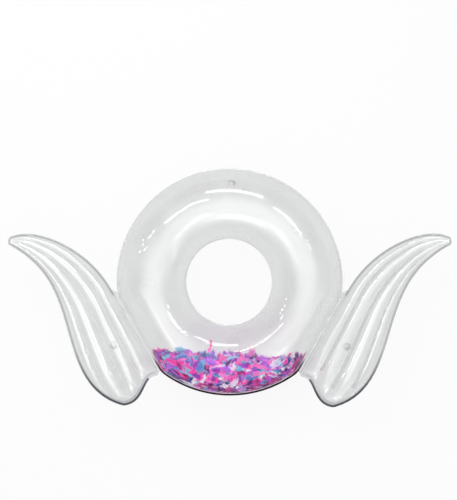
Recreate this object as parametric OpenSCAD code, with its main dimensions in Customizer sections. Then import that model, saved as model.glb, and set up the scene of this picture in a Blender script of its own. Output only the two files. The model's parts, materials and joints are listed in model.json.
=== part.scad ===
// Inflatable pool float: a clear vinyl swim ring with two angel wings,
// loose feathers inside the ring and three push-in inflation valves.
// The ring lies flat on z = 0 with its axis along +Z; the wings spread along X.

/* [Ring] */
// Radius of the tube's centre line
ring_r = 320; // [300:5:340]
// Radius of the inflated tube
tube_r = 138; // [125:1:145]
// Thickness of the film as modelled
film = 1; // [0.8:0.1:1.2]
// Width of the welded seam outside the ring
seam_w = 8; // [6:1:10]
// Distance of the straight wing roots from the ring's centre
root_d = 420; // [414:1:430]

/* [Wings] */
// Angle of the wing roots below the span
root_dir = 29; // [20:1:34]
// Rise of the wings above the ring's mid-plane
dihedral = 14; // [8:1:16]
// Width of the welded seam round each wing
wing_seam = 9; // [6:1:10]
// Half-thickness of a valley as a share of the channel width
valley_share = 0.40; // [0.30:0.01:0.45]
// Extra half-thickness of a ridge as a share of the channel width
ridge_share = 0.27; // [0.15:0.01:0.32]

/* [Valves] */
// Radius of the flange welded to the film
flange_r = 16; // [14:1:18]
// Outer radius of the sliding stem
stem_r = 6.5; // [6:0.1:7]
// Radius of the air passage
bore_r = 4.5; // [4:0.1:4.6]
// How far the stem pulls out
stem_travel = 10; // [6:1:10]

/* [Feathers] */
// Slices of feathers along the ring
feather_slices = 24; // [12:1:26]
// Length of one feather
feather_len = 105; // [80:1:110]

/* [Hidden] */
SIDES = ["left", "right"];

$fn = 96;
eps = 0.1;

mid_z = tube_r;
inner_seam_w = 6;
hinge_gap = 3;
hinge_d = root_d + seam_w + hinge_gap;

// Wing outline in its own frame: x outwards from the hinge line, y up along the root.
top_edge = [[275, 588], [162, 580], [72, 440], [22, 345], [20, 205]];
outer_edge = [[285, 575], [157, 375], [182, 200], [382, -45], [192, -227]];
lobe_edge = [[192, -227], [112, -262], [77, -155], [14, -185]];
root_top = top_edge[len(top_edge) - 1];
root_low = lobe_edge[len(lobe_edge) - 1];
outer_share = 0.84;   // part of outer_edge that is the wing's outer side
lobe_share = 0.45;    // part of the lower side that still belongs to outer_edge
top_share = 0.57;     // part of the inner side that is the top edge
channels = 4;
steps = 4;            // columns across one channel
rows = 22;
cols = channels * steps + 1;
rib_t = 1;
rib_first = 3;
rib_last = rows - 4;

// Ring valve on the back sheet at the head of the ring, facing out and down.
ring_valve_tilt = 50;
// Wing valves on the back panels: row and column of the skin's grid.
wing_valve_row = 15;
wing_valve_col = 10;

// Valve heights above the film
base_t = 1.7;
neck_r = 9;
neck_depth = 9;
running_gap = 0.05;
collar_r = 8.5;
collar_low = 2.2;
stem_top = 4.2;
stem_depth = 19;
cap_t = 1.8;
plug_gap = 0.1;
nose_depth = 4;
nose_taper = 0.8;
hinge_x = 10.5;
strap_w = 6;
strap_t = 1;
strap_gap = 0.7;
flap_t = 1;

function mix(a, b, t) = a * (1 - t) + b * t;
function bezier(p, t) =
    len(p) == 1 ? p[0] : bezier([for (i = [0:len(p) - 2]) mix(p[i], p[i + 1], t)], t);

// The four sides of the wing's skin
function tip_side(v) = mix(outer_edge[0], top_edge[0], v);
function outer_side(u) = bezier(outer_edge, u * outer_share);
function lower_side(v) =
    v < lobe_share ? bezier(outer_edge, mix(outer_share, 1, v / lobe_share))
                   : bezier(lobe_edge, (v - lobe_share) / (1 - lobe_share));
function inner_side(u) =
    u < top_share ? bezier(top_edge, u / top_share)
                  : mix(root_top, root_low, (u - top_share) / (1 - top_share));

// Plan point of the skin: u runs from the tip to the lobe, v from the outer edge to the root
function skin_xy(u, v) =
    mix(tip_side(v), lower_side(v), u) + mix(outer_side(u), inner_side(u), v)
    - mix(mix(outer_side(0), inner_side(0), v), mix(outer_side(1), inner_side(1), v), u);

// Channel boundaries across the skin, from the outer edge to the root
function bound(u, c) = [0, 0.20 + 0.10 * u, 0.52 + 0.03 * u, 0.80, 1][c];
function channel_w(u, c) = norm(skin_xy(u, bound(u, c + 1)) - skin_xy(u, bound(u, c)));
function row_u(i) = mix(i / (rows - 1), 0.5 - 0.5 * cos(180 * i / (rows - 1)), 0.4);
function col_c(j) = min(channels - 1, floor(j / steps));
function col_w(j) = j / steps - col_c(j);
function grid_xy(i, j) =
    let (u = row_u(i), c = col_c(j))
    skin_xy(u, mix(bound(u, c), bound(u, c + 1), col_w(j)));

// Half-thickness of the inflated wing at a grid point
function end_fade(u) =
    let (low = max(0, (u - 0.84) / 0.16), tip = max(0, 1 - u / 0.06))
    sqrt(max(0, 1 - low * low)) * sqrt(max(0, 1 - tip * tip));
function valley_h(u, k) =
    k == 0 || k == channels ? 0 : valley_share * (channel_w(u, k - 1) + channel_w(u, k)) / 2;
function ridge_h(u, c) =
    (c == 0 || c == channels - 1 ? 1.35 : 1) * ridge_share * channel_w(u, c);
function grid_h(i, j) =
    let (u = row_u(i), c = col_c(j), w = col_w(j))
    end_fade(u) * (mix(valley_h(u, c), valley_h(u, c + 1), w)
                   + ridge_h(u, c) * pow(max(0, sin(180 * w)), 0.8));

// Edge of the skin as one closed loop of grid indices, and the seam outside it
loop = concat(
    [for (j = [0:cols - 1]) [0, j]], [for (i = [1:rows - 1]) [i, cols - 1]],
    [for (j = [cols - 2:-1:0]) [rows - 1, j]], [for (i = [rows - 2:-1:1]) [i, 0]]);
function loop_xy(k) = let (g = loop[(k + len(loop)) % len(loop)]) grid_xy(g[0], g[1]);
function seam_xy(k) =
    let (d = loop_xy(k + 1) - loop_xy(k - 1), o = [d[1], -d[0]] / norm(d))
    loop_xy(k) + o * wing_seam;
function grid_index(i, j) = i * cols + j;

// The origin is the middle of the float's footprint, so the ring's centre sits at ring_y
lobe_reach = max([for (k = [0:len(loop) - 1]) let (p = seam_xy(k))
    (hinge_d + p[0] * cos(dihedral)) * sin(root_dir) - p[1] * cos(root_dir)]);
ring_y = (lobe_reach - ring_r - tube_r - seam_w) / 2;

function quad(a, b, c, d) = [[a, c, b], [a, d, c]];

// Solid torus cut by the two flat wing roots
module tube_solid(inset) {
    intersection() {
        translate([0, 0, mid_z]) rotate_extrude() translate([ring_r, 0]) circle(tube_r - inset);
        linear_extrude(2 * mid_z) plan(-inset);
    }
}

// Plan of the ring out to its seam line, grown by o
module plan(o) {
    intersection() {
        circle(ring_r + tube_r + o);
        root_side(o);
        mirror([1, 0]) root_side(o);
    }
}

module root_side(o) {
    reach = 2 * ring_r;
    rotate(-root_dir) translate([root_d + o - 2 * reach, -reach]) square([2 * reach, 2 * reach]);
}

module ring_sheet(low) {
    translate([0, ring_y, 0]) {
        intersection() {
            difference() {
                tube_solid(0);
                tube_solid(film);
            }
            translate([-2 * ring_r, -2 * ring_r, low ? 0 : mid_z])
                cube([4 * ring_r, 4 * ring_r, mid_z]);
        }
        translate([0, 0, low ? mid_z - film : mid_z]) {
            linear_extrude(film) difference() {
                plan(seam_w);
                plan(-film);
            }
            linear_extrude(film) difference() {
                circle(ring_r - tube_r + film);
                circle(ring_r - tube_r - inner_seam_w);
            }
        }
    }
}

// Places a valve, whose own +Z points out of the film
module at_ring_valve() {
    translate([0, ring_y + ring_r + tube_r * cos(ring_valve_tilt),
               mid_z - tube_r * sin(ring_valve_tilt)])
        rotate([-90 - ring_valve_tilt, 0, 0]) children();
}

module at_wing(side) {
    mirror([side == "left" ? 1 : 0, 0, 0])
        translate([0, ring_y, mid_z]) rotate(-root_dir) translate([hinge_d, 0, 0])
            rotate([0, -dihedral, 0]) children();
}

module at_wing_valve(side) {
    p = grid_xy(wing_valve_row, wing_valve_col);
    h = grid_h(wing_valve_row, wing_valve_col) + film;
    at_wing(side) translate([p[0], p[1], -h]) rotate([180, 0, 0]) children();
}

module valve_base() {
    color("whitesmoke") difference() {
        union() {
            translate([0, 0, eps]) cylinder(r = flange_r, h = base_t - eps);
            translate([0, 0, -neck_depth]) cylinder(r = neck_r, h = neck_depth + base_t);
        }
        translate([0, 0, -neck_depth - 1])
            cylinder(r = stem_r + running_gap, h = neck_depth + base_t + 2);
    }
}

module valve_stem() {
    color("whitesmoke") difference() {
        union() {
            translate([0, 0, -stem_depth]) cylinder(r = stem_r, h = stem_depth + stem_top);
            translate([0, 0, collar_low]) cylinder(r = collar_r, h = stem_top - collar_low);
            translate([-hinge_x - 2, -strap_w / 2, collar_low])
                cube([hinge_x + 2 - stem_r, strap_w, stem_top - collar_low]);
        }
        translate([0, 0, -stem_depth - 1]) cylinder(r = bore_r, h = stem_depth + stem_top + 2);
    }
}

module valve_plug() {
    seat = stem_top + 2 * plug_gap;
    color("whitesmoke") {
        translate([0, 0, seat]) cylinder(r = collar_r, h = cap_t);
        translate([0, 0, seat - nose_depth])
            cylinder(r1 = bore_r - plug_gap - nose_taper, r2 = bore_r - plug_gap, h = nose_depth);
        translate([-hinge_x + strap_gap, -strap_w / 2, seat])
            cube([hinge_x - strap_gap - bore_r, strap_w, strap_t]);
    }
}

module valve_flap() {
    color("gainsboro") translate([0, 0, -stem_depth - 2 * plug_gap - flap_t])
        cylinder(r = stem_r - 0.3, h = flap_t);
}

module ring_front_sheet() {
    color("aliceblue", 0.5) ring_sheet(false);
}

module ring_back_sheet() {
    color("aliceblue", 0.5) difference() {
        ring_sheet(true);
        at_ring_valve() translate([0, 0, -20]) cylinder(r = neck_r + running_gap, h = 30);
    }
}

// One feather blade: a thin pointed leaf
module feather_blade() {
    half = feather_len / 2;
    half_w = feather_len / 9;
    arc_r = (half * half + half_w * half_w) / (2 * half_w);
    linear_extrude(1.2, center = true) intersection() {
        translate([arc_r - half_w, 0]) circle(arc_r);
        translate([half_w - arc_r, 0]) circle(arc_r);
    }
}

// One colour of feathers: one blade in each slice of the lowest part of the ring
module feathers(slot) {
    pitch = 74 / feather_slices;
    translate([0, ring_y, mid_z])
        for (i = [0:feather_slices - 1])
            rotate(-90 + pitch * (i - (feather_slices - 1) / 2)) translate([ring_r, 0, 0])
                rotate([90, 0, 0]) rotate(90 * slot + 37 * i) translate([82, 0, 0])
                    feather_blade();
}

module wing_root_web(side) {
    at_wing_plane(side) translate([-hinge_gap, root_low[1], -film / 2])
        color("aliceblue", 0.5) cube([hinge_gap + 2.5, root_top[1] - root_low[1], film]);
}

// The hinge line's frame before the wing rises
module at_wing_plane(side) {
    mirror([side == "left" ? 1 : 0, 0, 0])
        translate([0, ring_y, mid_z]) rotate(-root_dir) translate([hinge_d, 0, 0]) children();
}

// One skin of a wing with its half of the seam
module wing_skin() {
    n = rows * cols;
    m = len(loop);
    upper = [for (i = [0:rows - 1]) for (j = [0:cols - 1])
        let (p = grid_xy(i, j)) [p[0], p[1], film + grid_h(i, j)]];
    lower = [for (p = upper) [p[0], p[1], p[2] - film]];
    rim_top = [for (k = [0:m - 1]) let (p = seam_xy(k)) [p[0], p[1], film]];
    rim_low = [for (p = rim_top) [p[0], p[1], 0]];
    skins = [for (i = [0:rows - 2]) for (j = [0:cols - 2])
        let (a = grid_index(i, j), b = grid_index(i, j + 1),
             c = grid_index(i + 1, j + 1), d = grid_index(i + 1, j))
        each concat(quad(a, b, c, d), quad(n + a, n + d, n + c, n + b))];
    band = [for (k = [0:m - 1])
        let (l = (k + 1) % m, a = grid_index(loop[k][0], loop[k][1]),
             b = grid_index(loop[l][0], loop[l][1]), t = 2 * n, s = 2 * n + m)
        each concat(quad(a, t + k, t + l, b), quad(n + a, n + b, s + l, s + k),
                    quad(t + k, s + k, s + l, t + l))];
    polyhedron(concat(upper, lower, rim_top, rim_low), concat(skins, band), convexity = 10);
}

module wing_front_panel(side) {
    color("aliceblue", 0.5) at_wing(side) wing_skin();
}

module wing_back_panel(side) {
    color("aliceblue", 0.5) difference() {
        at_wing(side) mirror([0, 0, 1]) wing_skin();
        at_wing_valve(side) translate([0, 0, -20]) cylinder(r = neck_r + running_gap, h = 30);
    }
}

// Web inside the wing along the valley between two channels
module wing_rib(side, k) {
    j = k * steps;
    n = rib_last - rib_first + 1;
    points = [for (i = [rib_first:rib_last])
        let (p = grid_xy(i, j), d = grid_xy(i + 1, j) - grid_xy(i - 1, j),
             o = [d[1], -d[0]] / norm(d) * rib_t / 2, h = grid_h(i, j) - eps)
        each [[p[0] + o[0], p[1] + o[1], -h], [p[0] + o[0], p[1] + o[1], h],
              [p[0] - o[0], p[1] - o[1], h], [p[0] - o[0], p[1] - o[1], -h]]];
    walls = [for (i = [0:n - 2]) for (e = [0:3])
        let (a = 4 * i + e, b = 4 * i + (e + 1) % 4)
        each quad(a, a + 4, b + 4, b)];
    ends = concat(quad(0, 1, 2, 3), quad(4 * n - 1, 4 * n - 2, 4 * n - 3, 4 * n - 4));
    color("lightcyan", 0.5) at_wing(side) polyhedron(points, concat(walls, ends), convexity = 6);
}

ring_front_sheet();
ring_back_sheet();
at_ring_valve() valve_base();  // ring_valve_base
at_ring_valve() valve_stem();  // ring_valve_stem
at_ring_valve() valve_plug();  // ring_valve_plug
at_ring_valve() valve_flap();  // ring_valve_flap
color("hotpink") feathers(0);  // feathers_pink
color("mediumorchid") feathers(1);  // feathers_purple
color("cornflowerblue") feathers(2);  // feathers_blue
color("lavender") feathers(3);  // feathers_white
for (side = SIDES) {
    wing_root_web(side);
    wing_front_panel(side);
    wing_back_panel(side);
    for (k = [1:3])
        wing_rib(side, k);
    at_wing_valve(side) valve_base();
    at_wing_valve(side) valve_stem();
    at_wing_valve(side) valve_plug();
    at_wing_valve(side) valve_flap();
}
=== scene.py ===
import json
import math

import bpy
import numpy as np
from mathutils import Matrix, Vector


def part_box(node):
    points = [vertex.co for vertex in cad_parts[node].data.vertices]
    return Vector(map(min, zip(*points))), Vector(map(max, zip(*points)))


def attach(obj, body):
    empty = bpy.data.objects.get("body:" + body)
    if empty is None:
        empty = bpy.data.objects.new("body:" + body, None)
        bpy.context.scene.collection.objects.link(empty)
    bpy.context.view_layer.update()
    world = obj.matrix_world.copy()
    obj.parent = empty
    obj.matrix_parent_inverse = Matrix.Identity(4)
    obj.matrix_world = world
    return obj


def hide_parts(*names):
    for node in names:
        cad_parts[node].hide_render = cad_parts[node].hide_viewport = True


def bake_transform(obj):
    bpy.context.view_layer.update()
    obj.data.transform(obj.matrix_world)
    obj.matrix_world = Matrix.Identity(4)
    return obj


# A clear swim ring with two angel wings and loose feathers in it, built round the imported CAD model.

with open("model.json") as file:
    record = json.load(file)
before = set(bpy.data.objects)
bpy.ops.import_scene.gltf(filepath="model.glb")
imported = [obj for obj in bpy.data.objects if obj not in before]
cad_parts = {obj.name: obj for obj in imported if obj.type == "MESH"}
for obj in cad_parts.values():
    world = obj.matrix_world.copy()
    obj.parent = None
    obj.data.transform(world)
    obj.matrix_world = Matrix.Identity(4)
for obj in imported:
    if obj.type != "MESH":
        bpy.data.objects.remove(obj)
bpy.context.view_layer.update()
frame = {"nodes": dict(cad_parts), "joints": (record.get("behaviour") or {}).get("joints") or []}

# ---------------------------------------------------------------- sizes, in metres
MM = 0.001
SEAM_W = 8 * MM              # ring's outer seam
INNER_SEAM_W = 6 * MM
WING_SEAM_W = 9 * MM
HINGE_GAP = 3 * MM           # from the ring's seam to the line that a wing flaps about
DIHEDRAL = math.radians(14)
LEAF_T = 0.35 * MM           # half the thickness of a welded seam
FILM_GAP = 1.2 * MM          # feathers stay this far inside the film

low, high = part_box("ring_front_sheet")
RING_Y = (low.y + high.y) / 2
MID_Z = low.z
TUBE_R = high.z - low.z
RING_R = (high.x - low.x) / 2 - SEAM_W - TUBE_R
JOINTS = {j["name"]: j for j in frame["joints"]}
HINGE = np.array(JOINTS["right_wing_flap"]["pos_m"])
ROOT_UP = -np.array(JOINTS["right_wing_flap"]["axis"])    # up along the root line
OUTWARD = np.array([ROOT_UP[1], -ROOT_UP[0], 0.0])
UP = np.array([0.0, 0.0, 1.0])
HINGE_D = float((HINGE - [0, RING_Y, MID_Z]) @ OUTWARD)
ROOT_D = HINGE_D - SEAM_W - HINGE_GAP
ROOT_AZ = math.atan2(OUTWARD[1], OUTWARD[0])

# Wing outline in the hinge's own frame: outwards, and up along the root
TOP_EDGE = np.array([[275, 588], [162, 580], [72, 440], [22, 345], [20, 205]]) * MM
OUTER_EDGE = np.array([[285, 575], [157, 375], [182, 200], [382, -45], [192, -227]]) * MM
LOBE_EDGE = np.array([[192, -227], [112, -262], [77, -155], [14, -185]]) * MM
OUTER_SHARE = 0.84           # of the outer edge's curve that is the wing's side; the rest is its lower edge
LOBE_SHARE = 0.45            # of the wing's width that this rest covers
TOP_SHARE = 0.57             # of the wing's length that the top edge covers, down to the root
CHANNELS = 4
VALLEY_SHARE, RIDGE_SHARE = 0.40, 0.27     # half-thickness at a valley and rise of a ridge, to channel width
SIDE_RIDGE = 1.35            # the two side channels rise by this much more


# ---------------------------------------------------------------- mesh helpers
def make_object(name, verts, faces, body=None, smooth=True, materials=(), face_slots=None):
    mesh = bpy.data.meshes.new(name)
    mesh.from_pydata([tuple(v) for v in verts], [], [tuple(int(i) for i in f) for f in faces])
    mesh.validate()
    mesh.update()
    piece = bpy.data.objects.new(name, mesh)
    bpy.context.scene.collection.objects.link(piece)
    for material in materials:
        mesh.materials.append(material)
    if face_slots is not None:
        mesh.polygons.foreach_set("material_index", np.asarray(face_slots, dtype=np.int32))
    mesh.polygons.foreach_set("use_smooth", np.full(len(mesh.polygons), smooth))
    if body:
        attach(piece, body)
    return piece


def mix(a, b, t):
    return a * (1 - t) + b * t


def smoothstep(x, a, b):
    t = np.clip((x - a) / (b - a), 0, 1)
    return t * t * (3 - 2 * t)


def turn_from(az, centre):
    """Signed angle from centre to az, within half a turn."""
    return (az - centre + np.pi) % (2 * np.pi) - np.pi


def bezier(points, t):
    t = np.asarray(t, float)[..., None]
    rows = [p + 0 * t for p in points]
    while len(rows) > 1:
        rows = [mix(a, b, t) for a, b in zip(rows[:-1], rows[1:])]
    return rows[0]


def ripple(x, waves, count, seed):
    """A sum of a few sines in x (turns), near `waves` waves a turn: an even but irregular ripple."""
    r = np.random.default_rng(seed)
    total = np.zeros_like(x)
    for _ in range(count):
        n = round(waves * r.uniform(0.7, 1.35))
        total = total + np.sin(2 * np.pi * (n * x + r.random())) * r.uniform(0.5, 1)
    return total / math.sqrt(count)


# ---------------------------------------------------------------- node helpers
def new_material(name):
    material = bpy.data.materials.new(name)
    material.use_nodes = True
    tree = material.node_tree
    tree.nodes.clear()
    return material, tree


def node(tree, kind, **inputs):
    """A new node. Each keyword names an input, with _ for a space, or is i0, i1 and so on for its number."""
    n = tree.nodes.new(kind)
    for key, value in inputs.items():
        numbered = key[0] == "i" and key[1:].isdigit()
        socket = n.inputs[int(key[1:]) if numbered else key.replace("_", " ")]
        if isinstance(value, bpy.types.NodeSocket):
            tree.links.new(value, socket)
        else:
            socket.default_value = value
    return n


def surface_from(tree, shader):
    out = tree.nodes.new("ShaderNodeOutputMaterial")
    tree.links.new(shader.outputs[0], out.inputs["Surface"])


def film_material(name, tint, haze, edge, milk, rough=0.40, ior=1.5, coat_rough=0.03, coat_ior=1.9,
                  bump_scale=8.0, bump_strength=0.02, low_shade_tint=None, fade_y=(-0.26, -0.43), wiped=1.0):
    """Clear vinyl film: see-through, and solid by its haze, more so at a slant, up to its edge value.

    The solid part is milky, with a wide soft glow under a sharp coat. The tint given for lower down is
    painted shade: the film darkens towards it between the two heights of fade_y. wiped is the share of the
    solid part that is left where the feathers rub the film.
    """
    material, tree = new_material(name)
    coords = tree.nodes.new("ShaderNodeTexCoord").outputs["Object"]
    noise = node(tree, "ShaderNodeTexNoise", Vector=coords, Scale=bump_scale, Detail=3.0, Roughness=0.5)
    bump = node(tree, "ShaderNodeBump", Height=noise.outputs["Fac"], Strength=bump_strength, Distance=0.002)
    cloud = node(tree, "ShaderNodeTexNoise", Vector=coords, Scale=7.0, Detail=2.0)
    cloudy = node(tree, "ShaderNodeMapRange", Value=cloud.outputs["Fac"], i1=0.15, i2=0.85, i3=haze * 0.65,
                  i4=haze * 1.35)
    split = node(tree, "ShaderNodeSeparateXYZ", Vector=coords)
    wipe = node(tree, "ShaderNodeMapRange", Value=split.outputs["Y"], i1=PILE_TOP, i2=PILE_TOP - WIPE_FADE,
                i3=1.0, i4=wiped)
    clear = node(tree, "ShaderNodeBsdfTransparent", Color=(*tint, 1))
    skin = node(tree, "ShaderNodeBsdfPrincipled", Base_Color=(*milk, 1), Roughness=rough, IOR=ior,
                Normal=bump.outputs[0])
    # Painted shade: between the heights of fade_y the film's tint and milk darken towards the low tint.
    if low_shade_tint:
        fade = node(tree, "ShaderNodeMapRange", Value=split.outputs["Y"], i1=fade_y[0], i2=fade_y[1])
        for colour, socket in ((tint, clear.inputs["Color"]), (milk, skin.inputs["Base Color"])):
            dimmed = tuple(c * t / max(tint) for c, t in zip(colour, low_shade_tint))
            shade = node(tree, "ShaderNodeMix", i0=fade.outputs[0], i6=(*colour, 1), i7=(*dimmed, 1))
            shade.data_type = "RGBA"
            tree.links.new(shade.outputs[2], socket)
    skin.inputs["Coat Weight"].default_value = 1.0
    skin.inputs["Coat Roughness"].default_value = coat_rough
    skin.inputs["Coat IOR"].default_value = coat_ior
    tree.links.new(bump.outputs[0], skin.inputs["Coat Normal"])
    slant = node(tree, "ShaderNodeLayerWeight", Blend=0.5)
    steep = node(tree, "ShaderNodeMath", i0=slant.outputs["Facing"], i1=3.0)
    steep.operation = "POWER"
    solid = node(tree, "ShaderNodeMix", i0=steep.outputs[0], i2=cloudy.outputs[0], i3=edge)
    share = node(tree, "ShaderNodeMath", i0=solid.outputs[0], i1=wipe.outputs[0])
    share.operation = "MULTIPLY"
    film = node(tree, "ShaderNodeMixShader", Fac=share.outputs[0], i1=clear.outputs[0], i2=skin.outputs[0])
    surface_from(tree, film)
    return material


# Painted glow: the feathers emit a faint light of their own colour, standing in for light through the barbs.
FEATHER_PAINTED_GLOW = 0.10          # light that comes through the thin barbs from behind


def feather_material(name, dark, light):
    """Barbs that vary between two colours, with a fine grain and a soft sheen."""
    material, tree = new_material(name)
    coords = tree.nodes.new("ShaderNodeTexCoord").outputs["Object"]
    noise = node(tree, "ShaderNodeTexNoise", Vector=coords, Scale=60.0, Detail=4.0, Roughness=0.6)
    ramp = node(tree, "ShaderNodeValToRGB", Fac=noise.outputs["Fac"])
    stops = ramp.color_ramp.elements
    stops[0].position, stops[0].color = 0.35, (*dark, 1)
    stops[1].position, stops[1].color = 0.65, (*light, 1)
    fine = node(tree, "ShaderNodeTexNoise", Vector=coords, Scale=900.0, Detail=2.0)
    bump = node(tree, "ShaderNodeBump", Height=fine.outputs["Fac"], Strength=0.3, Distance=0.0005)
    skin = node(tree, "ShaderNodeBsdfPrincipled", Base_Color=ramp.outputs[0], Roughness=0.55,
                Normal=bump.outputs[0])
    # Painted glow: the barbs emit their own colour faintly, as if lit through from behind.
    tree.links.new(ramp.outputs[0], skin.inputs["Emission Color"])
    skin.inputs["Emission Strength"].default_value = FEATHER_PAINTED_GLOW
    skin.inputs["Sheen Weight"].default_value = 0.2
    skin.inputs["Sheen Roughness"].default_value = 0.4
    surface_from(tree, skin)
    return material


PILE_TOP = RING_Y - 0.285    # the film is clearer below this
WIPE_FADE = 0.05             # height over which that clearing comes in
MILK = (0.62, 0.625, 0.625)
FRONT = film_material("clear_film_front", (0.95, 0.955, 0.955), 0.08, 0.50, MILK, rough=0.45, coat_ior=3.0,
                      wiped=0.3)
BACK = film_material("clear_film_back", (0.90, 0.905, 0.905), 0.30, 0.50, MILK, rough=0.36, ior=2.3,
                     coat_rough=0.24, wiped=0.25)
WING_FRONT = film_material("wing_film_front", (0.95, 0.955, 0.955), 0.18, 0.62, MILK, rough=0.26, ior=2.3,
                           coat_ior=2.9, bump_scale=16.0, bump_strength=0.05)
WING_BACK = film_material("wing_film_back", (0.93, 0.935, 0.935), 0.24, 0.62, MILK, rough=0.30, ior=2.4,
                          coat_rough=0.15, bump_scale=20.0)
# Painted shade: along the bottom of the ring, under the feathers, the seam turns dark purple.
RING_SEAM = film_material("ring_seam", (0.93, 0.935, 0.94), 0.22, 0.5, MILK, coat_rough=0.1,
                          bump_scale=160.0, bump_strength=0.05, low_shade_tint=(0.16, 0.07, 0.15),
                          fade_y=(-0.29, -0.33))
ROOT_SEAM = film_material("root_seam", (0.90, 0.905, 0.905), 0.20, 0.45, MILK, coat_rough=0.08,
                          bump_scale=120.0, bump_strength=0.05)
# Painted shade: the wing's seam darkens further lower down, towards the lobes.
SEAM = film_material("wing_seam", (0.72, 0.73, 0.74), 0.16, 0.5, (0.45, 0.46, 0.47), coat_rough=0.1,
                     bump_scale=160.0, bump_strength=0.05, low_shade_tint=(0.30, 0.31, 0.33))
# Painted shade: a band of darker film round each lobe, darker still lower down.
LOBE_FILM = film_material("lobe_film", (0.93, 0.935, 0.94), 0.22, 0.6, MILK, coat_rough=0.06,
                          bump_scale=30.0, low_shade_tint=(0.80, 0.81, 0.82))
RIB = film_material("rib_film", (0.96, 0.965, 0.965), 0.10, 0.4, MILK, bump_scale=40.0)


# ---------------------------------------------------------------- camera
CAM_DIST = 8.0
SENSOR = 36.0                # millimetres, along the taller side of the frame
VIEW_H = 2.05                # height of the view at the ring's mid-plane
YAW = math.radians(6)
AIM = Vector((-0.002, RING_Y + 0.131, MID_Z))
camera_data = bpy.data.cameras.new("camera")
camera = bpy.data.objects.new("camera", camera_data)
bpy.context.scene.collection.objects.link(camera)
bpy.context.scene.camera = camera
camera_data.sensor_width = SENSOR
camera_data.lens = SENSOR * CAM_DIST / VIEW_H
turn = Matrix.Rotation(YAW, 3, "Y")
camera.location = AIM + turn @ Vector((0, 0, CAM_DIST))
camera.rotation_euler = turn.to_euler()

# ---------------------------------------------------------------- ring
RING_TURNS = 600
RING_ARC = 72
# The seam's material, with its painted shade along the bottom, reaches this far onto the film beside each
# seam.
SEAM_ARC = 0.04              # the film is as thick as the seam this far round the tube
CONTACT_Z, CONTACT_SOFT = 0.3 * MM, 0.9 * MM     # where the film rests, and how softly it flattens there
CHORD_SOFT = 3 * MM          # rounding where the round seam meets a straight root

# Ripples in the film: waves round the ring, sines in the sum, seed, height
PUCKER_OUT = (70, 5, 11, 0.7 * MM)
PUCKER_IN = (44, 5, 12, 0.6 * MM)
SWELL_SHORT = (9, 4, 13, 0.7 * MM)
SWELL_LONG = (4, 3, 14, 0.8 * MM)
OUTER_EDGE_WAVE = (60, 4, 21, 0.7 * MM)
INNER_EDGE_WAVE = (40, 4, 22, 0.7 * MM)
# Wobbly patches: azimuth, place round the tube, spread, height
WOBBLES = [(math.radians(158), 0.95, 0.16, 1.6 * MM), (math.radians(-22), 2.35, 0.14, 1.2 * MM)]
CREASE_H = 1.8 * MM          # creases that fan out from the ends of each root


def outer_reach(az):
    """Radius of the ring's outer seam: round, and pulled straight along each wing root."""
    full = RING_R + TUBE_R
    reach = np.full_like(az, full)
    for root in (ROOT_AZ, math.pi - ROOT_AZ):
        chord = ROOT_D / np.maximum(np.cos(turn_from(az, root)), 0.2)
        shorter = np.exp(-(reach - full) / CHORD_SOFT) + np.exp(-(chord - full) / CHORD_SOFT)
        reach = -CHORD_SOFT * np.log(shorter) + full
    return reach


def wave(turns, kind):
    waves, count, seed, height = kind
    return ripple(turns, waves, count, seed) * height


def ring_film_point(az, arc):
    """A point on the inflated film.

    arc runs from 0 at the outer seam to pi at the inner seam over the front, and below zero on the back.
    """
    turns = az / (2 * np.pi)
    reach = outer_reach(az) - RING_R
    width = np.where(np.cos(arc) > 0, reach, TUBE_R)
    outer_d = np.abs(arc) * TUBE_R
    inner_d = (np.pi - np.abs(arc)) * TUBE_R
    pucker = (wave(turns, PUCKER_OUT) * np.exp(-outer_d / 0.020)
              + wave(turns, PUCKER_IN) * np.exp(-inner_d / 0.030))
    pucker = pucker * np.minimum(1, np.minimum(outer_d, inner_d) / 0.008)
    swell = wave(turns + 0.03 * arc, SWELL_SHORT) + wave(turns - 0.05 * arc, SWELL_LONG)
    swell = swell * np.sin(arc) ** 2
    for centre_az, centre_arc, spread, height in WOBBLES:
        off = turn_from(az, centre_az)
        near = np.exp(-(off / spread) ** 2 - ((arc - centre_arc) / 0.35) ** 2)
        swell = swell + near * height * np.sin(38 * off + 5 * arc)
    creases = 0 * az
    corner = math.acos(ROOT_D / (RING_R + TUBE_R))
    for root in (ROOT_AZ, math.pi - ROOT_AZ):
        for root_end in (root + corner, root - corner):
            off = turn_from(az, root_end)
            fan = off * 70 / (1 + np.abs(arc) * 1.2)
            near = np.exp(-(off / 0.14) ** 2 - (np.abs(arc) / 0.75) ** 2)
            creases = creases + near * np.sin(fan) * CREASE_H
    out = 1 + (pucker + swell + creases * smoothstep(outer_d, 0, 0.012)) / TUBE_R
    radius = RING_R + width * np.cos(arc) * out
    lift = (MID_Z + TUBE_R * np.sin(arc) * out - CONTACT_Z) / CONTACT_SOFT
    z = CONTACT_Z + CONTACT_SOFT * np.logaddexp(0, lift)
    return np.stack([radius * np.cos(az), RING_Y + radius * np.sin(az), z], -1)


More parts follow.
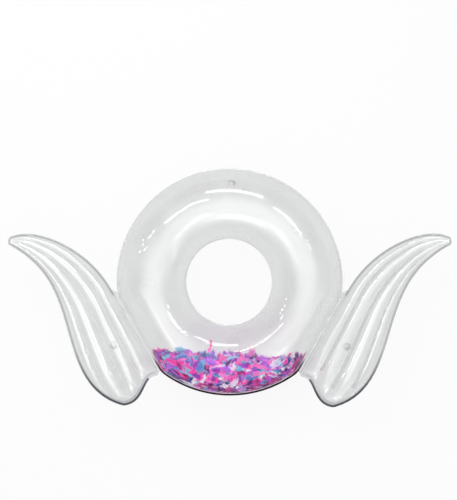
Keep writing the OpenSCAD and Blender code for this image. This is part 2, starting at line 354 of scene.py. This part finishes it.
def build_ring():
    """Both sheets as one closed skin: front film, inner seam, back film, outer seam."""
    front, back, seam = range(3)
    az = np.linspace(0, 2 * np.pi, RING_TURNS, endpoint=False)
    turns = az / (2 * np.pi)
    arcs = np.linspace(0.004, np.pi - 0.004, RING_ARC)
    wave_out = wave(turns, OUTER_EDGE_WAVE)
    wave_in = wave(turns, INNER_EDGE_WAVE)
    edge = outer_reach(az) + SEAM_W
    inner = np.full_like(az, RING_R - TUBE_R - INNER_SEAM_W)
    leaf = ((1 * MM, LEAF_T), (0, 0), (1 * MM, -LEAF_T))      # inset and lift of a seam's rounded edge
    loops, slots = [], []

    def flat(radius, z):
        return np.stack([radius * np.cos(az), RING_Y + radius * np.sin(az), MID_Z + z], -1)

    for a in arcs:
        loops.append(ring_film_point(az, np.full_like(az, a)))
        slots.append(seam if a < SEAM_ARC else front)
    slots[-1] = seam
    for inset, lift in leaf:
        loops.append(flat(inner + inset, wave_in + lift))
        slots.append(seam)
    for a in arcs[::-1]:
        loops.append(ring_film_point(az, np.full_like(az, -a)))
        slots.append(seam if a < SEAM_ARC else back)
    slots[-1] = seam
    for inset, lift in leaf[::-1]:
        loops.append(flat(edge - inset, wave_out + lift))
        slots.append(seam)
    n, m = len(loops), RING_TURNS
    i, j = np.meshgrid(np.arange(n), np.arange(m), indexing="ij")
    i2, j2 = (i + 1) % n, (j + 1) % m
    faces = np.stack([i * m + j, i * m + j2, i2 * m + j2, i2 * m + j], -1).reshape(-1, 4)
    piece = make_object("ring_film", np.concatenate(loops), faces, "ring",
                        materials=(FRONT, BACK, RING_SEAM), face_slots=np.repeat(np.array(slots), m))
    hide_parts("ring_front_sheet", "ring_back_sheet")


# ---------------------------------------------------------------- wings
def tip_side(v):
    return mix(OUTER_EDGE[0], TOP_EDGE[0], v[..., None])


def outer_side(u):
    return bezier(OUTER_EDGE, u * OUTER_SHARE)


def lower_side(v):
    first = bezier(OUTER_EDGE, mix(OUTER_SHARE, 1, np.clip(v / LOBE_SHARE, 0, 1)))
    second = bezier(LOBE_EDGE, np.clip((v - LOBE_SHARE) / (1 - LOBE_SHARE), 0, 1))
    return np.where((v < LOBE_SHARE)[..., None], first, second)


def inner_side(u):
    first = bezier(TOP_EDGE, np.clip(u / TOP_SHARE, 0, 1))
    t = np.clip((u - TOP_SHARE) / (1 - TOP_SHARE), 0, 1)[..., None]
    return np.where((u < TOP_SHARE)[..., None], first, mix(TOP_EDGE[-1], LOBE_EDGE[-1], t))


def skin_xy(u, v):
    one, nil = np.ones_like(u), np.zeros_like(u)
    u1, v1 = u[..., None], v[..., None]
    corners = mix(mix(outer_side(nil), inner_side(nil), v1), mix(outer_side(one), inner_side(one), v1), u1)
    return mix(tip_side(v), lower_side(v), u1) + mix(outer_side(u), inner_side(u), v1) - corners


def bounds_at(u):
    """Where the channel boundaries lie across the wing, from the outer edge to the root."""
    return np.stack([0 * u, 0.20 + 0.10 * u, 0.52 + 0.03 * u, 0.80 + 0 * u, 1 + 0 * u], -1)


def wing_skin(u, c, w):
    """Plan point and half-thickness for rows u and channel position c + w."""
    edges = bounds_at(u)
    pick = lambda k: np.take_along_axis(edges, k[..., None], -1)[..., 0]
    v = mix(pick(c), pick(c + 1), w)
    xy = skin_xy(u, v)
    widths = np.stack([np.linalg.norm(skin_xy(u, edges[..., k + 1]) - skin_xy(u, edges[..., k]), axis=-1)
                       for k in range(CHANNELS)], -1)
    valley = np.stack([0 * u] + [VALLEY_SHARE * (widths[..., k - 1] + widths[..., k]) / 2
                                 for k in range(1, CHANNELS)] + [0 * u], -1)
    side = np.where((c == 0) | (c == CHANNELS - 1), SIDE_RIDGE, 1.0)
    ridge = side * RIDGE_SHARE * np.take_along_axis(widths, c[..., None], -1)[..., 0]
    lows = mix(np.take_along_axis(valley, c[..., None], -1)[..., 0],
               np.take_along_axis(valley, (c + 1)[..., None], -1)[..., 0], w)
    lower = np.clip((u - 0.84) / 0.16, 0, 1)
    tip = np.clip(1 - u / 0.06, 0, 1)
    fade = np.sqrt(np.clip(1 - lower ** 2, 0, 1)) * np.sqrt(np.clip(1 - tip ** 2, 0, 1))
    h = fade * (lows + ridge * np.clip(np.sin(np.pi * w), 0, 1) ** 0.8)
    return xy, h, v


def to_row(p, q, h):
    """From the hinge's frame of the right wing to the row frame."""
    out = p * math.cos(DIHEDRAL) - h * math.sin(DIHEDRAL)
    up = p * math.sin(DIHEDRAL) + h * math.cos(DIHEDRAL)
    return HINGE + out[..., None] * OUTWARD + q[..., None] * ROOT_UP + up[..., None] * UP


def mirrored(points, side):
    return points * np.array([-1.0 if side == "left" else 1.0, 1, 1])


WING_ROWS = 170
WING_STEPS = 26
LOBE_ROWS = 4
LOBE_FROM = 0.6              # the outer edge belongs to the lobe from this share of the length on
PALE_FROM = 0.84             # the seam under the root is pale from this share of the wing's width on


def build_wing(side):
    cols = CHANNELS * WING_STEPS + 1
    s = np.linspace(0, 1, WING_ROWS)
    rows = mix(s, 0.5 - 0.5 * np.cos(np.pi * s), 0.5)
    j = np.arange(cols)
    c = np.minimum(CHANNELS - 1, j // WING_STEPS)
    t = j / WING_STEPS - c
    w = mix(t, 0.5 - 0.5 * np.cos(np.pi * t), 0.35)
    U, C = np.meshgrid(rows, c, indexing="ij")
    W = np.broadcast_to(w, U.shape)
    xy, h, v = wing_skin(U, C, W)
    seed = 30 if side == "left" else 60
    # small creases across the valleys and along the seam
    from_valley = np.minimum(W, 1 - W)
    crease = ripple(U, 26, 5, seed) * np.exp(-(from_valley / 0.16)) * smoothstep(h, 0, 0.01)
    swell = ripple(U + 0.15 * v, 5, 3, seed + 1)
    thick = h + (0.3 * crease + 0.5 * swell) * MM * smoothstep(h, 0, 0.02)
    n = WING_ROWS * cols
    loop = ([(0, k) for k in range(cols)] + [(i, cols - 1) for i in range(1, WING_ROWS)]
            + [(WING_ROWS - 1, k) for k in range(cols - 2, -1, -1)]
            + [(i, 0) for i in range(WING_ROWS - 2, 0, -1)])
    li = np.array(loop)
    edge = xy[li[:, 0], li[:, 1]]
    step = np.roll(edge, -1, 0) - np.roll(edge, 1, 0)
    normal = np.stack([step[:, 1], -step[:, 0]], -1) / np.linalg.norm(step, axis=1)[:, None]
    turns = np.concatenate([[0], np.cumsum(np.linalg.norm(np.diff(edge, axis=0), axis=1))])
    turns = turns / (turns[-1] + np.linalg.norm(edge[0] - edge[-1]))
    wave = ripple(turns, 70, 4, seed + 2) * 0.8 * MM
    front = to_row(xy[..., 0], xy[..., 1], LEAF_T + thick).reshape(-1, 3)
    back = to_row(xy[..., 0], xy[..., 1], -LEAF_T - thick).reshape(-1, 3)
    near_rim = edge + normal * (WING_SEAM_W - 1 * MM)
    rim = edge + normal * WING_SEAM_W
    rim_top = to_row(near_rim[:, 0], near_rim[:, 1], wave + LEAF_T)
    rim_edge = to_row(rim[:, 0], rim[:, 1], wave)
    rim_low = to_row(near_rim[:, 0], near_rim[:, 1], wave - LEAF_T)
    verts = np.concatenate([front, back, rim_top, rim_edge, rim_low])
    a, b = np.meshgrid(np.arange(WING_ROWS - 1), np.arange(cols - 1), indexing="ij")
    q0 = a * cols + b
    grid = np.stack([q0, q0 + cols, q0 + cols + 1, q0 + 1], -1).reshape(-1, 4)
    faces = [grid, (grid + n)[:, ::-1]]
    front_slot, back_slot, seam_slot, root_slot, lobe_slot = range(5)
    # The lobe's darker film, a painted shade, takes the last rows and the lower part of the outer edge.
    near_lobe = (a >= WING_ROWS - 1 - LOBE_ROWS) | ((b == 0) & (a > LOBE_FROM * WING_ROWS))
    slots = [np.where(near_lobe, lobe_slot, front_slot).ravel(),
         np.where(near_lobe, lobe_slot, back_slot).ravel()]
    m = len(loop)
    k = np.arange(m)
    k2 = (k + 1) % m
    g = li[:, 0] * cols + li[:, 1]
    t0, t1, t2 = 2 * n, 2 * n + m, 2 * n + 2 * m
    bands = [np.stack([g[k], g[k2], t0 + k2, t0 + k], -1), np.stack([t0 + k, t0 + k2, t1 + k2, t1 + k], -1),
             np.stack([t1 + k, t1 + k2, t2 + k2, t2 + k], -1),
             np.stack([t2 + k, t2 + k2, n + g[k2], n + g[k]], -1)]
    faces = np.concatenate(faces + bands)
    at_root = (li[:, 1] == cols - 1) & (li[:, 0] > TOP_SHARE * WING_ROWS)
    at_root |= (li[:, 0] == WING_ROWS - 1) & (li[:, 1] > PALE_FROM * cols)
    slots = np.concatenate(slots + [np.where(at_root, root_slot, seam_slot)] * 4)
    if side == "left":
        faces = faces[:, ::-1]
    piece = make_object(f"{side}_wing_film", mirrored(verts, side), faces, f"{side}_wing",
                        materials=(WING_FRONT, WING_BACK, SEAM, ROOT_SEAM, LOBE_FILM), face_slots=slots)
    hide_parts(f"{side}_wing_front_panel", f"{side}_wing_back_panel")
    for k in range(1, CHANNELS):
        build_rib(side, k)
    return piece


def build_rib(side, k):
    """The web that ties front to back along a valley, with its two welded feet."""
    u = np.linspace(0.14, 0.93, 60)
    c = np.full(u.shape, k)
    xy, h, _ = wing_skin(u, c, np.zeros_like(u))
    d = np.gradient(xy, axis=0)
    o = np.stack([d[:, 1], -d[:, 0]], -1) / np.linalg.norm(d, axis=1)[:, None]
    half = 0.3 * MM
    h = h - 0.3 * MM
    rings = [to_row((xy + o * half)[:, 0], (xy + o * half)[:, 1], h),
             to_row((xy - o * half)[:, 0], (xy - o * half)[:, 1], h),
             to_row((xy - o * half)[:, 0], (xy - o * half)[:, 1], -h),
             to_row((xy + o * half)[:, 0], (xy + o * half)[:, 1], -h)]
    n = len(u)
    verts = np.concatenate(rings)
    faces = []
    for e in range(4):
        f = (e + 1) % 4
        for i in range(n - 1):
            faces.append((e * n + i, e * n + i + 1, f * n + i + 1, f * n + i))
    faces.append((0, n, 2 * n, 3 * n))
    faces.append((4 * n - 1, 3 * n - 1, 2 * n - 1, n - 1))
    if side == "left":
        faces = [f[::-1] for f in faces]
    piece = make_object(f"{side}_wing_rib_{k}_film", mirrored(verts, side), faces, f"{side}_wing",
                        smooth=False, materials=(RIB,))
    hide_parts(f"{side}_wing_rib_{k}")


def build_web(side):
    """Soft film between the ring's seam and the wing's seam; it bends from the ring's plane up to the wing's
    tilt.
    """
    n, m = ((120, 10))
    s = np.linspace(0, 1, n)
    t = np.linspace(0, 1, m)
    S, T = np.meshgrid(s, t, indexing="ij")
    q_ring = mix(-182 * MM, 186 * MM, S)
    q_wing = mix(-184 * MM, 212 * MM, S)
    q = mix(q_ring, q_wing, T)
    along_root = HINGE_D * OUTWARD + q_ring[..., None] * ROOT_UP
    reach = outer_reach(np.arctan2(along_root[..., 1], along_root[..., 0]))
    p_ring = np.sqrt(np.clip((reach + SEAM_W) ** 2 - q_ring ** 2, 0, None)) - HINGE_D - 1.5 * MM
    p_wing = mix(7 * MM, 13.5 * MM, S)
    p = mix(p_ring, p_wing, T)
    belly = np.sin(np.pi * T)
    z = ripple(S, 24, 4, 90) * 1.2 * MM * belly * (0.4 + S)

    def place(lift):
        tilt = smoothstep(T, 0.2, 0.9) * DIHEDRAL
        out = p * np.cos(tilt) - lift * np.sin(tilt)
        up = p * np.sin(tilt) + lift * np.cos(tilt)
        spots = HINGE + out[..., None] * OUTWARD + q[..., None] * ROOT_UP + up[..., None] * UP
        return spots.reshape(-1, 3)

    verts = np.concatenate([place(z + 0.9 * MM), place(z + 0.3 * MM)])
    N = n * m
    faces = []
    for i in range(n - 1):
        for j in range(m - 1):
            a = i * m + j
            faces.append((a, a + m, a + m + 1, a + 1))
            faces.append((N + a, N + a + 1, N + a + m + 1, N + a + m))
    loop = (list(range(m)) + [i * m + m - 1 for i in range(1, n)]
            + [(n - 1) * m + j for j in range(m - 2, -1, -1)] + [i * m for i in range(n - 2, 0, -1)])
    for x, y in zip(loop, loop[1:] + loop[:1]):
        faces.append((x, y, N + y, N + x))
    if side == "left":
        faces = [f[::-1] for f in faces]
    piece = make_object(f"{side}_root_film", mirrored(verts, side), faces, materials=(ROOT_SEAM,))
    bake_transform(piece)
    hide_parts(f"{side}_wing_root_web")


# ---------------------------------------------------------------- feathers
PILE_LEVEL = -0.328          # top of the pile, from the ring's centre
PILE_HALF = 0.325
FEATHERS = 1100
STRAYS = 9
SHELL, SURFACE, RIM = 0.66, 0.22, 0.12   # shares against the film, on top of the pile and along the seam
BARBS = 16
# Each colour in three tones, darkest first, each a pair of colours for its grain. The darkest is partly the
# feathers' own darker shade and partly painted shade: a few feathers anywhere take it, and almost all of
# those at the outer wall.
COLOURS = {
    "pink": [((0.26, 0.010, 0.16), (0.50, 0.015, 0.28)), ((0.92, 0.020, 0.36), (1.0, 0.05, 0.50)),
             ((1.0, 0.10, 0.58), (1.0, 0.30, 0.74))],
    "purple": [((0.035, 0.004, 0.06), (0.10, 0.008, 0.16)), ((0.22, 0.010, 0.34), (0.40, 0.03, 0.54)),
               ((0.42, 0.07, 0.70), (0.62, 0.20, 0.88))],
    "blue": [((0.015, 0.012, 0.10), (0.05, 0.05, 0.30)), ((0.06, 0.12, 0.52), (0.12, 0.30, 0.74)),
             ((0.10, 0.42, 0.68), (0.28, 0.66, 0.86))],
    "white": [((0.36, 0.16, 0.50), (0.58, 0.34, 0.74)), ((0.74, 0.50, 0.90), (0.92, 0.74, 0.96)),
              ((0.90, 0.86, 0.96), (1.0, 0.98, 1.0))],
}
SHARES = [0.41, 0.24, 0.19, 0.16]


def feather_template(r):
    """One feather of unit length: a curved shaft and two rows of barbs, closed inside and frayed outside.

    Gives its points, its faces, and for each face 0 where it keeps its tone or 1 where it is a tone lighter:
    the shaft, every other barb, and the frayed tips, whose lighter tone is a painted highlight.
    """
    n = 12
    t = np.linspace(0, 1, n)
    turning = r.choice([-1, 1]) * r.uniform(0.3, 2.4)
    heading = turning * (t - 0.5) * (0.6 + 0.8 * t)
    curl, width = r.uniform(0.05, 0.35), r.uniform(0.15, 0.25)
    mid = np.stack([np.cumsum(np.cos(heading)) / n, np.cumsum(np.sin(heading)) / n, curl * (t - t * t)], -1)
    verts, faces, lighter = [], [], []

    def add(points, tone):
        faces.append(tuple(range(len(verts), len(verts) + len(points))))
        verts.extend(points)
        lighter.append(tone)

    def place(f, forward, aside, lift):
        spot = [np.interp(f, t, mid[:, k]) for k in range(3)]
        way = np.interp(f, t, heading)
        c, s = math.cos(way), math.sin(way)
        return np.array(spot) + [forward * c - aside * s, forward * s + aside * c, lift]

    for i in range(n - 1):
        w0, w1 = 0.010 * (1.15 - t[i]), 0.010 * (1.15 - t[i + 1])
        add([place(t[i], 0, -w0, 0.004), place(t[i + 1], 0, -w1, 0.004),
             place(t[i + 1], 0, w1, 0.004), place(t[i], 0, w0, 0.004)], 1)
    for side in (-1, 1):
        cup = r.uniform(-0.2, 0.5)
        for b in range(BARBS):
            f = 0.06 + 0.92 * b / BARBS
            g = min(1, f + 0.92 / BARBS * 1.1)
            span = width * math.sin(math.pi * min(1, 0.12 + f * 0.84)) ** 0.6 * r.uniform(0.86, 1.08)
            lean = 0.16 + r.uniform(-0.03, 0.03)
            lift = cup * span + r.uniform(-0.02, 0.02)
            near = (lean * 0.35, side * span * 0.50, lift * 0.25)
            far = (lean * 0.85, side * span * 0.85, lift * 0.65)
            add([place(f, 0, 0, 0), place(g, 0, 0, 0), place(g, *near), place(f, *near)], 0)
            add([place(f, *near), place(g, *near), place(mix(f, g, 0.8), *far), place(f, *far)], b % 2)
            # Painted highlight: the frayed tip of each barb is a tone lighter.
            tip = place(mix(f, g, 0.3), lean * 1.5, side * span, lift * 1.1)
            add([place(f, *far), place(mix(f, g, 0.8), *far), tip], 1)
    return np.array(verts) - mid.mean(0), faces, lighter


def frame_from(normal, r):
    other = r.normal(size=3)
    x = other - normal * (other @ normal)
    x /= np.linalg.norm(x)
    return np.stack([x, np.cross(normal, x), normal], -1)


def inside_tube(points, limit):
    """Pulls points back inside the tube, so that a feather lies pressed against the film."""
    rel = points - [0, RING_Y, MID_Z]
    az = np.arctan2(rel[:, 1], rel[:, 0])
    radial = np.hypot(rel[:, 0], rel[:, 1]) - RING_R
    rho = np.hypot(radial, rel[:, 2])
    arc = np.arctan2(rel[:, 2], radial)
    reach = np.where(np.cos(arc) > 0, outer_reach(az) - RING_R, TUBE_R)
    wide = reach * TUBE_R / np.sqrt((TUBE_R * np.cos(arc)) ** 2 + (reach * np.sin(arc)) ** 2)
    scale = np.minimum(1, (wide - limit) / np.maximum(rho, 1e-9))
    radius = RING_R + radial * scale
    return np.stack([radius * np.cos(az), RING_Y + radius * np.sin(az), MID_Z + rel[:, 2] * scale], -1)


def pile_level(x, r):
    """Top of the pile across the ring: lower in the middle, higher on the left, and uneven."""
    across = x / PILE_HALF
    return (PILE_LEVEL + 0.008 * across ** 2 - 0.012 * across
            + 0.006 * math.sin(23 * x + 1) + r.normal() * 0.005)


def feather_place(k, r):
    """Middle, normal and depth (0 inside to 1 at the outer wall) of one feather, or None outside the pile."""
    if k < STRAYS:
        az = math.radians(r.uniform(-116, -64))
        arc = r.uniform(0.9, 2.0) * r.choice([-1, 1])
        rho = 0.95 * TUBE_R
    else:
        az = math.radians(-90 + r.uniform(-52, 52))
        arc = math.radians(r.uniform(-120, 120))
        rho = TUBE_R * (r.uniform(0.90, 0.985) if r.random() < SHELL else math.sqrt(r.uniform(0, 0.9)))
        if r.random() < RIM:
            arc, rho = math.radians(r.uniform(-24, 24)), TUBE_R * r.uniform(0.975, 0.995)
    radius = RING_R + rho * math.cos(arc)
    p = np.array([radius * math.cos(az), RING_Y + radius * math.sin(az), MID_Z + rho * math.sin(arc)])
    if k >= STRAYS:
        level = pile_level(p[0], r)
        if r.random() < SURFACE:
            p[1] = RING_Y + level - abs(r.normal()) * 0.006
        outside = abs(p[0]) > PILE_HALF or math.hypot(p[0], p[1] - RING_Y) > RING_R + TUBE_R
        if p[1] - RING_Y > level or outside:
            return None
    normal = np.array([math.cos(arc) * math.cos(az), math.cos(arc) * math.sin(az), math.sin(arc)])
    normal = normal + r.normal(size=3) * 0.30
    depth = (math.hypot(p[0], p[1] - RING_Y) - RING_R) / TUBE_R
    return p, normal / np.linalg.norm(normal), depth


def build_feathers():
    r = np.random.default_rng(5)
    names = list(COLOURS)
    kinds = [feather_template(r) for _ in range(24)]
    verts = {k: [] for k in names}
    faces = {k: [] for k in names}
    slots = {k: [] for k in names}
    counts = dict.fromkeys(names, 0)
    made = 0
    while made < FEATHERS:
        place = feather_place(made, r)
        if place is None:
            continue
        p, normal, depth = place
        shape, quads, lighter = kinds[r.integers(len(kinds))]
        size = r.uniform(0.028, 0.046) if made < STRAYS else r.uniform(0.052, 0.096)
        points = (shape * size) @ frame_from(normal, r).T + p
        points = inside_tube(points, FILM_GAP + r.uniform(0, 3 * MM))
        name = names[r.choice(4, p=SHARES)]
        # Painted shade: the share in the darkest tone grows from a few to almost all towards the outer wall,
        # along the bottom rim.
        dark = 0.06 + 0.84 * min(1, max(0, depth - 0.66) / 0.24)
        tone = 0 if r.random() < dark else (1 if r.random() < 0.5 else 2)
        verts[name].append(points)
        faces[name].extend(tuple(i + counts[name] for i in q) for q in quads)
        slots[name].extend(min(2, tone + step) for step in lighter)
        counts[name] += len(points)
        made += 1
    for name in names:
        tones = [feather_material(f"feather_{name}_{k}", *pair) for k, pair in enumerate(COLOURS[name])]
        piece = make_object(f"{name}_feathers", np.concatenate(verts[name]), faces[name], "ring",
                            materials=tones, face_slots=slots[name])
        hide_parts(f"feathers_{name}")


# ---------------------------------------------------------------- valves
def valve_materials():
    moulded, tree = new_material("soft_moulding")
    coords = tree.nodes.new("ShaderNodeTexCoord").outputs["Object"]
    noise = node(tree, "ShaderNodeTexNoise", Vector=coords, Scale=700.0, Detail=3.0)
    bump = node(tree, "ShaderNodeBump", Height=noise.outputs["Fac"], Strength=0.15, Distance=0.0004)
    skin = node(tree, "ShaderNodeBsdfPrincipled", Base_Color=(0.94, 0.95, 0.96, 1), Roughness=0.32,
                Normal=bump.outputs[0])
    skin.inputs["Subsurface Weight"].default_value = 0.3
    skin.inputs["Subsurface Radius"].default_value = (0.004, 0.004, 0.004)
    out = tree.nodes.new("ShaderNodeOutputMaterial")
    tree.links.new(skin.outputs[0], out.inputs["Surface"])
    for name, part in frame["nodes"].items():
        if "valve" in name:
            part.data.materials.clear()
            part.data.materials.append(moulded)


# ---------------------------------------------------------------- stage
CEILING, CEILING_TILT = 3.2, 18    # what the gloss sees overhead, and its tilt in degrees towards the head
AMBIENT = 0.85
FLOOR = 30                   # half the side of the floor


def build_stage():
    corners = [(-FLOOR, -FLOOR, 0), (FLOOR, -FLOOR, 0), (FLOOR, FLOOR, 0), (-FLOOR, FLOOR, 0)]
    floor = make_object("floor", corners, [(0, 1, 2, 3)], smooth=False)
    floor.location.z = -0.5 * MM
    material, tree = new_material("floor")
    path = tree.nodes.new("ShaderNodeLightPath")
    plain = node(tree, "ShaderNodeBsdfDiffuse", Color=(0.85, 0.85, 0.85, 1))
    glow = node(tree, "ShaderNodeEmission", Color=(1, 1, 1, 1), Strength=1.0)
    both = node(tree, "ShaderNodeMixShader", Fac=0.88, i1=plain.outputs[0], i2=glow.outputs[0])
    coords = tree.nodes.new("ShaderNodeTexCoord").outputs["Object"]
    split = node(tree, "ShaderNodeSeparateXYZ", Vector=coords)
    falls = node(tree, "ShaderNodeMapRange", Value=split.outputs["Y"], i1=-0.66, i2=-0.46, i3=0.04, i4=0.95)
    dim = node(tree, "ShaderNodeEmission", Color=(1, 1, 1, 1), Strength=falls.outputs[0])
    seen = node(tree, "ShaderNodeMixShader", Fac=path.outputs["Is Glossy Ray"], i1=both.outputs[0],
                i2=dim.outputs[0])
    out = tree.nodes.new("ShaderNodeOutputMaterial")
    tree.links.new(seen.outputs[0], out.inputs["Surface"])
    floor.data.materials.append(material)


def soft_box(name, azimuth, off_zenith, distance, wide, tall, radiance, shines):
    """A rectangular lamp that faces the ring. azimuth is in the plan, 90 being the head of the ring.

    One that shines is seen only in the film's gloss; any other lights only the matt surfaces.
    """
    data = bpy.data.lights.new(name, "AREA")
    data.shape = "RECTANGLE"
    data.size, data.size_y = wide, tall
    data.energy = radiance * wide * tall * math.pi
    lamp = bpy.data.objects.new(name, data)
    bpy.context.scene.collection.objects.link(lamp)
    lamp.visible_diffuse = not shines
    lamp.visible_glossy = shines
    a, z = math.radians(azimuth), math.radians(off_zenith)
    way = Vector((math.cos(a) * math.sin(z), math.sin(a) * math.sin(z), math.cos(z)))
    across = Vector((-math.sin(a), math.cos(a), 0))
    axes = Matrix((across, way.cross(across), way)).transposed()
    lamp.matrix_world = Matrix.Translation(Vector((0, RING_Y, MID_Z)) + way * distance) @ axes.to_4x4()


def build_light():
    """A white room for the eye and the matt surfaces; the gloss sees a bright ceiling over a dark wall."""
    world = bpy.data.worlds.new("studio")
    bpy.context.scene.world = world
    world.use_nodes = True
    tree = world.node_tree
    tree.nodes.clear()
    coords = tree.nodes.new("ShaderNodeTexCoord").outputs["Generated"]
    tilt = math.radians(CEILING_TILT)
    towards = node(tree, "ShaderNodeVectorMath", i0=coords, i1=(0, math.sin(tilt), math.cos(tilt)))
    towards.operation = "DOT_PRODUCT"
    ceiling = node(tree, "ShaderNodeMapRange", Value=towards.outputs["Value"], i1=math.cos(math.radians(50)),
                   i2=math.cos(math.radians(8)), i3=0.10, i4=CEILING)
    ceiling.interpolation_type = "SMOOTHSTEP"
    path = tree.nodes.new("ShaderNodeLightPath")
    room = node(tree, "ShaderNodeBackground", Color=(1, 1, 1, 1), Strength=ceiling.outputs[0])
    plain = node(tree, "ShaderNodeBackground", Color=(1, 1, 1, 1), Strength=AMBIENT)
    both = node(tree, "ShaderNodeMixShader", Fac=path.outputs["Is Glossy Ray"], i1=plain.outputs[0],
                i2=room.outputs[0])
    white = node(tree, "ShaderNodeBackground", Color=(1, 1, 1, 1), Strength=1.0)
    seen = node(tree, "ShaderNodeMixShader", Fac=path.outputs["Is Camera Ray"], i1=both.outputs[0],
                i2=white.outputs[0])
    out = tree.nodes.new("ShaderNodeOutputWorld")
    tree.links.new(seen.outputs[0], out.inputs["Surface"])
    soft_box("centre_box", 90, 49, 3.0, 1.65, 0.55, 16.0, True)
    soft_box("left_box", 132, 28, 3.0, 0.80, 0.42, 16.0, True)
    soft_box("right_box", 48, 36, 3.0, 0.85, 0.42, 16.0, True)
    soft_box("side_box", 161, 56, 3.0, 0.35, 0.42, 16.0, True)
    soft_box("left_wing_box", 26, 44, 3.0, 0.26, 0.26, 16.0, True)
    soft_box("right_wing_box", 154, 44, 3.0, 0.26, 0.26, 16.0, True)
    soft_box("key_light", 115, 40, 3.0, 1.6, 1.6, 3.0, False)
    bpy.context.scene.view_settings.view_transform = "Standard"


build_ring()
for wing_side in ("left", "right"):
    build_wing(wing_side)
    build_web(wing_side)
build_feathers()
valve_materials()
build_stage()
build_light()
